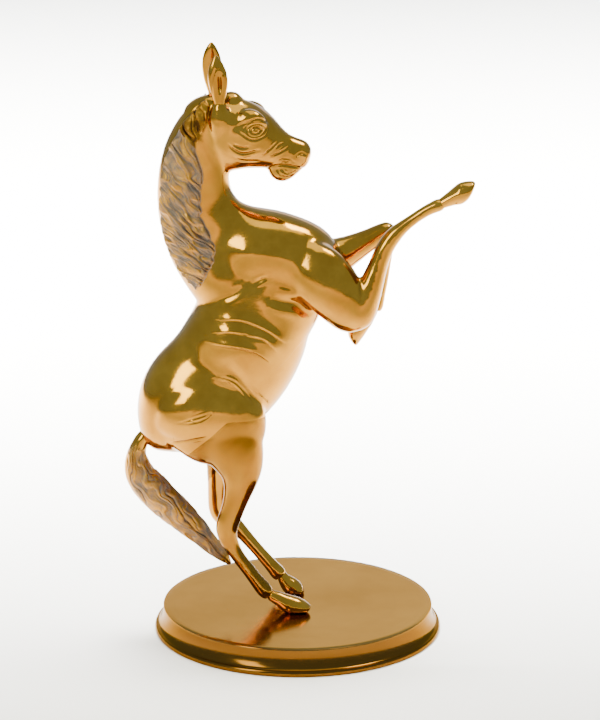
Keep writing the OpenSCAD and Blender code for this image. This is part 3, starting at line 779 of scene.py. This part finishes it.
def saw(piece, cut, keep):
    """Cuts a piece along a joint plane, keeps its front (1) or back (-1) part, and closes the cut."""
    pick(piece)
    bpy.ops.object.mode_set(mode="EDIT")
    bpy.ops.mesh.select_all(action="SELECT")
    if cut == "middle":
        point, facing = (0, 0, 0), (0, 1, 0)
    else:
        (x, z), (dx, dz) = CUTS[cut]
        point, facing = (x * MM, 0, z * MM), (dx, 0, dz)
    bpy.ops.mesh.bisect(plane_co=point, plane_no=facing, use_fill=True,
                        clear_inner=keep > 0, clear_outer=keep < 0)
    bpy.ops.object.mode_set(mode="OBJECT")


def sawn(piece, name, cuts):
    """A part of a piece, sawn out along its cuts."""
    part = copy_of(piece, name)
    for cut, keep in cuts:
        saw(part, cut, keep)
    return part


def settle(piece, node, material, smooth_angle=40):
    """Gives a finished piece its shading, material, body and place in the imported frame."""
    pick(piece)
    bpy.ops.object.shade_smooth_by_angle(angle=math.radians(smooth_angle))
    piece.data.materials.clear()
    piece.data.materials.append(material)
    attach(piece, "root")
    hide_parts(node)


def cast(foal, materials):
    """Saws the foal into its castings."""
    blocks = {name: sawn(foal, name, cuts) for name, cuts in BLOCKS.items()}
    for node, (block, cuts) in CASTINGS.items():
        piece = sawn(blocks[block], node + "_casting", cuts)
        slot = "chased_brass" if node == "neck" else "polished_brass"
        settle(piece, node, materials[slot], 60)
    for block in [foal, *blocks.values()]:
        bpy.data.objects.remove(block)


# ---------------------------------------------------------------- feet, ears and tail

def two_sided(pairs, y):
    """Rings from pairs of points in the side view: front x, z, back x, z, half width."""
    rings = []
    for fx, fz, bx, bz, wide in pairs:
        front, back = Vector((fx, y, fz)) * MM, Vector((bx, y, bz)) * MM
        across = Vector((0, wide * MM * ROUND_UP, 0))
        rings.append(((front + back) / 2, (front - back) / 2 * ROUND_UP, across))
    return rings


# Each foot: its place across, and its rings as front x, z, back x, z, half width.
FEET = {
    "right_fore_foot": (-12, [
        (68.8, 227.6, 70.6, 223.4, 2.4), (69.8, 228.4, 72, 223.4, 2.8), (71.8, 230, 73.6, 223.9, 3.1),
        (74.4, 232.2, 75.6, 224.5, 3.6), (77.2, 234.8, 77, 224.9, 4.2), (78.8, 235.9, 77.6, 225, 4.6),
        (79.8, 236.4, 78.6, 225.1, 4.9), (80.4, 236.5, 79.4, 225.2, 4.7), (81.2, 236.8, 80.4, 225.4, 4.9),
        (84, 237.2, 82.8, 226.8, 5.0), (86, 237.1, 84.2, 228.6, 4.6), (87, 236.4, 85.2, 230.4, 3.4),
        (87.2, 235.4, 86, 232.4, 1.6)]),
    "left_fore_foot": (13.5, [
        (40.6, 163.4, 37.4, 165, 2.4), (39.4, 161, 36, 162.8, 2.6), (38.6, 159.2, 34.8, 161.6, 3.1),
        (37.6, 157, 33, 160.6, 3.9), (36.8, 155.4, 31.4, 159.8, 4.5), (36.2, 154.6, 30.6, 158.8, 4.8),
        (35.8, 154, 30, 158, 4.6), (35.4, 153.4, 29.2, 157.4, 4.8), (33.8, 150.8, 27, 156.2, 5.0),
        (31.8, 147.8, 25.4, 154.4, 4.7), (30.2, 145.6, 25, 152, 3.8), (28.8, 144, 25.4, 149, 2.2)]),
    "right_hind_foot": (-14, [
        (-13.2, 25, -15.6, 20.6, 2.5), (-11.6, 24.4, -14, 19, 2.8), (-9.6, 24, -11.8, 17.6, 3.2),
        (-7.4, 23.2, -10, 16, 3.9), (-5, 22.4, -8.2, 14.4, 4.5), (-3.4, 22, -6.8, 13.4, 4.8),
        (-2.6, 21.7, -6, 13.1, 4.6), (-1.8, 21.5, -5.2, 12.6, 4.9), (1.2, 20.6, -2.8, 12.4, 5.1),
        (4.2, 18.8, 0.4, 12.4, 4.8), (6.2, 17, 3.6, 12.8, 3.6), (6.9, 15.8, 5.6, 13.6, 1.8)]),
    "left_hind_foot": (14, [
        (-7.4, 25, -10.4, 21, 2.5), (-6.2, 24, -9.6, 19, 2.8), (-4.8, 22.8, -9, 17.4, 3.2),
        (-3.4, 21.9, -8.2, 15.6, 3.9), (-1.8, 21, -7, 13.8, 4.5), (-0.8, 20.5, -6, 13, 4.8),
        (-0.2, 20, -5.2, 12.8, 4.6), (0.4, 19.5, -4.6, 12.5, 4.9), (2, 17.9, -2.8, 12.4, 5.0),
        (3, 16, -0.4, 12.4, 4.6), (3.5, 14.6, 1.4, 12.6, 3.4), (3.4, 13.6, 2.4, 12.8, 1.8)]),
}


def make_feet(materials):
    """Four hooves, each with its pastern and a stepped collar. The hind ones stand flat on the stand."""
    for node, (y, pairs) in FEET.items():
        foot = pull(node + "_casting", two_sided(pairs, y), SIDES)
        finish_with(foot, "SUBSURF", levels=2, render_levels=2)
        mend(foot)
        clay = Clay(foot)
        if "hind" in node:
            clay.place[:, 2] = np.maximum(clay.place[:, 2], STAND_HEIGHT + 0.02)
        clay.feel()
        clay.recess()
        settle(foot, node, materials["polished_brass"])


def make_ears(materials):
    """Each ear is a leaf, hollow on its outer face, with a deep slot low in the hollow."""
    for node, stations, side in (("right_ear", RIGHT_EAR, RIGHT), ("left_ear", LEFT_EAR, LEFT)):
        ear = limb(node + "_casting", stations, levels=3)
        clay = Clay(ear)
        middle = stations[4][0] + 0.7
        clay.swell(middle, 286, long=2.5, tall=6.5, height=-1.0, side=side, tilt=-3)
        rim = [(middle - 3.2, 279), (middle - 3.6, 286), (middle - 2.2, 293.5)]
        clay.press(rim, width=0.5, height=0.35, side=side)
        clay.feel()
        slot = [(middle + 0.2, 281.6), (middle + 0.3, 286), (middle, 291)]
        clay.press(slot, width=0.75, height=0.9, side=side)
        clay.feel()
        clay.recess()
        settle(ear, node, materials["polished_brass"])


TAIL_LENGTH = 130


def make_tail(materials):
    """A thick tail, smooth over the dock and combed into twisting locks below it."""
    tail = limb("tail_casting", TAIL, levels=3)
    clay = Clay(tail)
    y = clay.place[:, 1]
    chosen, _, signed, share = clay.along([station[0:3:2] for station in TAIL], 60)
    middle, share_all = np.zeros(clay.count), np.zeros(clay.count)
    middle[chosen], share_all[chosen] = signed, share
    round_it = np.arctan2(y, middle)
    ring = np.stack([np.cos(round_it), np.sin(round_it), TAIL_LENGTH * share_all / 13], 1)
    wander = noise_at(ring * (1.1, 1.1, 1), 1, 2)
    ripple = noise_at(ring * (3, 3, 2.2), 1, 4)
    turned_by = round_it + 0.9 * wander + 1.6 * share_all
    locks = ridges((3.5 * turned_by + 0.5 * ripple) / math.pi)
    strands = ridges((8.5 * turned_by + 1.6 * ripple) / math.pi)
    fine = ridges((15.5 * turned_by + 3.0 * ripple) / math.pi)
    outer = smoothstep(0.55, 0.85, -clay.normal[:, 0] - 0.25 * clay.normal[:, 2])
    mask = smoothstep(0.1, 0.2, share_all) * (1 - outer * smoothstep(0.62, 0.4, share_all))
    mask *= 1 - 0.6 * smoothstep(0.9, 1, share_all)
    clay.push(mask * (0.7 * locks + 0.42 * strands + 0.2 * fine - 0.8))
    clay.feel()
    store(tail, "chased", mask)
    clay.recess(extra=mask * np.clip(0.7 - 0.45 * locks - 0.4 * strands, 0, 1))
    settle(tail, "tail", materials["chased_brass"], 60)


# ---------------------------------------------------------------- the stand

def turned(name, profile, steps=192):
    """Turns a profile of (radius, height) points round the Z axis. A closed profile gives a ring."""
    deselect()
    bpy.ops.mesh.primitive_plane_add(size=1)
    piece = bpy.context.object
    piece.name = piece.data.name = name
    shape = bmesh.new()
    corners = [shape.verts.new((r * MM, 0, z * MM)) for r, z in profile]
    for a, b in zip(corners, corners[1:]):
        shape.edges.new((a, b))
    if profile[0][0] > 0:
        shape.edges.new((corners[-1], corners[0]))
    shape.to_mesh(piece.data)
    shape.free()
    pick(piece)
    bpy.ops.object.mode_set(mode="EDIT")
    bpy.ops.mesh.select_all(action="SELECT")
    bpy.ops.mesh.spin(steps=steps, angle=math.tau, center=(0, 0, 0), axis=(0, 0, 1))
    bpy.ops.mesh.select_all(action="SELECT")
    bpy.ops.mesh.remove_doubles(threshold=0.000005)
    bpy.ops.mesh.normals_make_consistent(inside=False)
    bpy.ops.object.mode_set(mode="OBJECT")
    return piece


FOOT_RADIUS = 72        # of the foot ring, the widest part of the stand
FLARE_RADIUS = 71.3     # of the stand's top where it meets the foot ring
TOP_RADIUS = 67.7       # and where its flare meets the top face
FLARE_LOW, FLARE_HIGH = 3, 12
HOLLOW_RADIUS, HOLLOW_HEIGHT = 64.7, 10
RING_INSIDE = 60
RECESS_RADIUS, RECESS_DEPTH = 66, 1.5
FELT_RADIUS = 65.7


def make_stand(materials):
    """The turned top, hollow below, with a flare in a quarter of an ellipse, and the rounded foot ring."""
    flare = []
    for angle in np.linspace(0, math.pi / 2, 14):
        out = FLARE_RADIUS - (FLARE_RADIUS - TOP_RADIUS) * math.sin(angle)
        flare.append((out, FLARE_LOW + (FLARE_HIGH - FLARE_LOW) * (1 - math.cos(angle))))
    hollow = [(0, HOLLOW_HEIGHT), (HOLLOW_RADIUS, HOLLOW_HEIGHT), (HOLLOW_RADIUS, FLARE_LOW)]
    rounding = [(0, 0.45), (0.15, 0.15), (0.45, 0)]
    edge = [(TOP_RADIUS - inward, STAND_HEIGHT - down) for inward, down in rounding]
    face = [(radius, STAND_HEIGHT) for radius in (64, 40, 20, 0)]
    top = turned("stand_top_turned", hollow + flare + edge + face)
    settle(top, "stand_top", materials["turned_brass"], 30)
    recess = [(RING_INSIDE, RECESS_DEPTH), (RECESS_RADIUS, RECESS_DEPTH), (RECESS_RADIUS, 0)]
    bead = [(0.8, 0), (0.4, 0.2), (0.15, 0.7), (0, 1.5), (0.15, 2.2), (0.4, 2.7), (0.7, FLARE_LOW)]
    outside = [(FOOT_RADIUS - inward, height) for inward, height in bead]
    ring = turned("foot_ring_turned", recess + outside + [(RING_INSIDE, FLARE_LOW)])
    settle(ring, "foot_ring", materials["turned_brass"], 30)


def make_felt(materials):
    """The felt disc under the stand, pressed thin, with a rounded edge."""
    low, high = 0.05, 1.45
    edge = [(0.6, low), (0.15, 0.3), (0, 0.7), (0.15, 1.2), (0.6, high)]
    profile = [(0, low)] + [(FELT_RADIUS - inward, height) for inward, height in edge] + [(0, high)]
    felt = turned("felt_disc", profile, steps=128)
    finish_with(felt, "SUBSURF", levels=1, render_levels=1)
    settle(felt, "felt_pad", materials["felt"], 30)


def dress_fasteners(materials):
    """The studs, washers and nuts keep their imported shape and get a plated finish."""
    for node in ("studs", "washers", "nuts"):
        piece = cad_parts[node]
        for place in piece.material_slots:
            place.material = materials["plated_steel"]
        if not piece.material_slots:
            piece.data.materials.append(materials["plated_steel"])


# ---------------------------------------------------------------- materials

def colour(hex_code):
    """An sRGB hex colour as linear red, green, blue and alpha."""
    parts = [int(hex_code[i:i + 2], 16) / 255 for i in (1, 3, 5)]
    return tuple(p / 12.92 if p <= 0.04045 else ((p + 0.055) / 1.055) ** 2.4 for p in parts) + (1.0,)


def add(tree, kind, links=None, values=None, **settings):
    """Adds a node with its settings, its input values and the sockets that feed it."""
    node = tree.nodes.new(kind)
    for key, value in settings.items():
        setattr(node, key, value)
    for key, value in (values or {}).items():
        node.inputs[key].default_value = value
    for key, socket in (links or {}).items():
        tree.links.new(socket, node.inputs[key])
    return node


def spaced(apart):
    """The scale that puts the lumps of a noise this many millimetres apart."""
    return 1 / (apart * MM)


def new_material(name):
    """A material, its node tree and its shader."""
    material = bpy.data.materials.new(name)
    material.use_nodes = True
    tree = material.node_tree
    return material, tree, tree.nodes["Principled BSDF"]


def brass_figure(name, bright, warm, dark, tarnish):
    """Cast brass buffed by hand: a warm mirror with fine haze, brown and dull where no wheel reaches.

    The attribute recess says how deep a corner lies in a groove, and chased where the hair was cut by hand.
    """
    material, tree, shader = new_material(name)
    place = add(tree, "ShaderNodeTexCoord").outputs["Object"]
    tone = add(tree, "ShaderNodeTexNoise", {"Vector": place},
               {"Scale": spaced(22), "Detail": 6, "Roughness": 0.62})
    body = add(tree, "ShaderNodeValToRGB", {"Fac": tone.outputs["Fac"]})
    body.color_ramp.elements[0].color = colour(warm)
    body.color_ramp.elements[0].position = 0.35
    body.color_ramp.elements[1].color = colour(bright)
    body.color_ramp.elements[1].position = 0.65
    hollow = add(tree, "ShaderNodeAttribute", attribute_name="recess").outputs["Fac"]
    chased = add(tree, "ShaderNodeAttribute", attribute_name="chased").outputs["Fac"]
    blotch = add(tree, "ShaderNodeTexNoise", {"Vector": place},
                 {"Scale": spaced(7), "Detail": 6, "Roughness": 0.65})
    patch = add(tree, "ShaderNodeMapRange", {"Value": blotch.outputs["Fac"]},
                {"From Min": 0.42, "From Max": 0.6, "To Min": 0.1, "To Max": 0.75})
    worn = add(tree, "ShaderNodeMath", {0: patch.outputs["Result"], 1: chased}, operation="MULTIPLY")
    both = add(tree, "ShaderNodeMath", {0: hollow, 2: worn.outputs[0]}, {1: tarnish},
               operation="MULTIPLY_ADD")
    dirt = add(tree, "ShaderNodeClamp", {"Value": both.outputs[0]}).outputs[0]
    mix = add(tree, "ShaderNodeMix", {0: dirt, 6: body.outputs["Color"]}, {7: colour(dark)},
              data_type="RGBA")
    tree.links.new(mix.outputs[2], shader.inputs["Base Color"])
    haze = add(tree, "ShaderNodeTexNoise", {"Vector": place},
               {"Scale": spaced(7), "Detail": 6, "Roughness": 0.6})
    gloss = add(tree, "ShaderNodeMapRange", {"Value": haze.outputs["Fac"]},
                {"From Min": 0.3, "From Max": 0.72, "To Min": 0.08, "To Max": 0.16})
    matt = add(tree, "ShaderNodeMath", {0: chased, 2: gloss.outputs["Result"]}, {1: 0.2},
               operation="MULTIPLY_ADD")
    dull = add(tree, "ShaderNodeMath", {0: dirt, 2: matt.outputs[0]}, {1: 0.3},
               operation="MULTIPLY_ADD")
    tree.links.new(dull.outputs[0], shader.inputs["Roughness"])
    grain = add(tree, "ShaderNodeTexNoise", {"Vector": place}, {"Scale": spaced(1.6), "Detail": 3})
    relief = add(tree, "ShaderNodeMath", {0: chased}, {1: 0.5, 2: 0.06}, operation="MULTIPLY_ADD")
    bump = add(tree, "ShaderNodeBump", {"Height": grain.outputs["Fac"], "Strength": relief.outputs[0]},
               {"Distance": 0.0004})
    tree.links.new(bump.outputs["Normal"], shader.inputs["Normal"])
    shader.inputs["Metallic"].default_value = 1.0
    return material


def brass_turned():
    """Brass turned on a lathe and left satin: rings round the axis and a soft shine, with painted shade on
    the rim.
    """
    material, tree, shader = new_material("turned_satin_brass")
    place = add(tree, "ShaderNodeTexCoord").outputs["Object"]
    parts = add(tree, "ShaderNodeSeparateXYZ", {"Vector": place})
    flat = add(tree, "ShaderNodeCombineXYZ", {"X": parts.outputs["X"], "Y": parts.outputs["Y"]})
    radius = add(tree, "ShaderNodeVectorMath", {0: flat.outputs["Vector"]}, operation="LENGTH")
    across = add(tree, "ShaderNodeCombineXYZ", {"X": radius.outputs["Value"], "Z": parts.outputs["Z"]})
    lines = add(tree, "ShaderNodeTexNoise", {"Vector": across.outputs["Vector"]},
                {"Scale": spaced(1.1), "Detail": 3})
    cloud = add(tree, "ShaderNodeTexNoise", {"Vector": place}, {"Scale": spaced(45), "Detail": 4})
    body = add(tree, "ShaderNodeValToRGB", {"Fac": cloud.outputs["Fac"]})
    body.color_ramp.elements[0].color = colour("#94652c")
    body.color_ramp.elements[0].position = 0.3
    body.color_ramp.elements[1].color = colour("#a87838")
    body.color_ramp.elements[1].position = 0.7
    # Painted shade: below the top face, the rim and flare get a darker brown than the top, standing in for
    # how they are lit.
    face = add(tree, "ShaderNodeMapRange", {"Value": parts.outputs["Z"]},
               {"From Min": (STAND_HEIGHT - 0.8) * MM, "From Max": (STAND_HEIGHT - 0.05) * MM})
    mix = add(tree, "ShaderNodeMix", {0: face.outputs["Result"], 7: body.outputs["Color"]},
              {6: colour("#633f14")}, data_type="RGBA")
    tree.links.new(mix.outputs[2], shader.inputs["Base Color"])
    gloss = add(tree, "ShaderNodeMapRange", {"Value": lines.outputs["Fac"]},
                {"From Min": 0.3, "From Max": 0.7, "To Min": 0.12, "To Max": 0.2})
    tree.links.new(gloss.outputs["Result"], shader.inputs["Roughness"])
    bump = add(tree, "ShaderNodeBump", {"Height": lines.outputs["Fac"]},
               {"Strength": 0.05, "Distance": 0.0002})
    tree.links.new(bump.outputs["Normal"], shader.inputs["Normal"])
    shader.inputs["Metallic"].default_value = 1.0
    shader.inputs["Specular Tint"].default_value = colour("#f0d8bc")
    return material


def steel_plated():
    """Steel fasteners, zinc plated: a cool grey shine with a faint cloudy haze."""
    material, tree, shader = new_material("zinc_plated_steel")
    place = add(tree, "ShaderNodeTexCoord").outputs["Object"]
    haze = add(tree, "ShaderNodeTexNoise", {"Vector": place}, {"Scale": spaced(2.5), "Detail": 4})
    tint = add(tree, "ShaderNodeValToRGB", {"Fac": haze.outputs["Fac"]})
    tint.color_ramp.elements[0].color = colour("#9fa3a6")
    tint.color_ramp.elements[1].color = colour("#c9ccce")
    tree.links.new(tint.outputs["Color"], shader.inputs["Base Color"])
    gloss = add(tree, "ShaderNodeMapRange", {"Value": haze.outputs["Fac"]}, {"To Min": 0.2, "To Max": 0.4})
    tree.links.new(gloss.outputs["Result"], shader.inputs["Roughness"])
    shader.inputs["Metallic"].default_value = 1.0
    return material


def wool_felt():
    """Pressed wool felt, dyed green: matt, with a fine tangle of hairs about 0.6 mm apart."""
    material, tree, shader = new_material("pressed_wool_felt")
    place = add(tree, "ShaderNodeTexCoord").outputs["Object"]
    tangle = add(tree, "ShaderNodeTexNoise", {"Vector": place},
                 {"Scale": spaced(0.6), "Detail": 5, "Distortion": 1.5})
    cloud = add(tree, "ShaderNodeTexNoise", {"Vector": place}, {"Scale": spaced(17), "Detail": 3})
    both = add(tree, "ShaderNodeMath", {0: tangle.outputs["Fac"], 1: cloud.outputs["Fac"]},
               operation="MULTIPLY")
    tint = add(tree, "ShaderNodeValToRGB", {"Fac": both.outputs[0]})
    tint.color_ramp.elements[0].color = colour("#16301f")
    tint.color_ramp.elements[0].position = 0.12
    tint.color_ramp.elements[1].color = colour("#35593f")
    tint.color_ramp.elements[1].position = 0.42
    tree.links.new(tint.outputs["Color"], shader.inputs["Base Color"])
    bump = add(tree, "ShaderNodeBump", {"Height": tangle.outputs["Fac"]},
               {"Strength": 0.5, "Distance": 0.0003})
    tree.links.new(bump.outputs["Normal"], shader.inputs["Normal"])
    shader.inputs["Roughness"].default_value = 0.95
    shader.inputs["Sheen Weight"].default_value = 0.35
    return material


def make_materials():
    """The finish of each slot. The two cast brasses share one gold, so no joint between them shows."""
    bright_gold, warm_gold = "#bc8228", "#a66f1e"
    brown, grey_brown = "#4a2d12", "#7d6a5a"
    return {
        "polished_brass": brass_figure("buffed_cast_brass", bright_gold, warm_gold, brown, 0.6),
        "chased_brass": brass_figure("chased_darkened_brass", bright_gold, warm_gold, grey_brown, 0.85),
        "turned_brass": brass_turned(),
        "plated_steel": steel_plated(),
        "felt": wool_felt(),
    }


# ---------------------------------------------------------------- studio

def area_light(name, place, aim, size, power, spread=180, mirrored_in_brass=True, tint="#ffffff"):
    """A rectangular lamp aimed at a point; the spread is its full beam in degrees."""
    data = bpy.data.lights.new(name, "AREA")
    data.spread = math.radians(spread)
    data.shape = "RECTANGLE"
    data.size, data.size_y = size
    data.energy = power
    data.color = colour(tint)[:3]
    lamp = bpy.data.objects.new(name, data)
    lamp.visible_glossy = mirrored_in_brass
    bpy.context.collection.objects.link(lamp)
    lamp.location = place
    lamp.rotation_euler = (Vector(aim) - Vector(place)).to_track_quat("-Z", "Y").to_euler()


def make_studio():
    """A floor of pale paper under a dim, cool ceiling, with soft lamps at the left, on top and behind.

    Three more lamps light the paper only, and don't show in the brass.
    """
    deselect()
    bpy.ops.mesh.primitive_plane_add(size=14, location=(0, 0, cad_low[2]))
    floor = bpy.context.object
    floor.name = "studio_floor"
    material, _, shader = new_material("matt_white_paper")
    shader.inputs["Base Color"].default_value = colour("#cfcdc8")
    shader.inputs["Roughness"].default_value = 0.9
    floor.data.materials.append(material)
    world = bpy.data.worlds.new("studio")
    world.use_nodes = True
    ceiling = world.node_tree.nodes["Background"]
    ceiling.inputs["Color"].default_value = colour("#94b1cf")
    ceiling.inputs["Strength"].default_value = 1.6
    bpy.context.scene.world = world
    area_light("left_softbox", (-1.1, -1.2, 1.1), (0, 0, 0.15), (0.55, 1.2), 26, tint="#f6ffdc")
    area_light("overhead_scrim", (0.2, 0.1, 1.95), (0, 0, 0.15), (1.3, 1.3), 13, tint="#f6ffdc")
    area_light("top_softbox", (0.8, 0.3, 1.75), (0, 0, 0.15), (0.45, 0.45), 18, tint="#f6ffdc")
    area_light("floor_light", (0, 0.62, 1.4), (0, 0.68, 0), (1.8, 0.8), 165, spread=60,
               mirrored_in_brass=False)
    area_light("front_floor_light", (0.05, -0.7, 0.5), (0, -0.22, 0), (0.25, 0.25), 0.6, spread=50,
               mirrored_in_brass=False, tint="#ffd8a8")
    area_light("far_floor_light", (0, -2.4, 1.6), (0, -2.35, 0), (3.0, 1.6), 150,
               mirrored_in_brass=False, tint="#ffe2bc")
    area_light("back_wall", (0, 3.2, 1.0), (0, 0, 0.3), (4.0, 1.5), 24)


def make_camera():
    """A long lens, a little above the foal, square to its side."""
    data = bpy.data.cameras.new("camera")
    data.sensor_fit = "VERTICAL"
    data.sensor_height = 36
    data.lens = 261.67
    data.shift_x = 0.0034
    data.shift_y = -0.0230
    camera = bpy.data.objects.new("camera", data)
    bpy.context.collection.objects.link(camera)
    elevation = math.radians(17.529)
    distance = 2.6
    target = Vector((0, 0, 0.15))
    camera.location = target + distance * Vector((0, -math.cos(elevation), math.sin(elevation)))
    camera.rotation_euler = (math.radians(90) - elevation, 0, 0)
    bpy.context.scene.camera = camera


make_camera()
make_studio()
materials = make_materials()
cast(model_foal(), materials)
make_feet(materials)
make_ears(materials)
make_tail(materials)
make_stand(materials)
make_felt(materials)
dress_fasteners(materials)
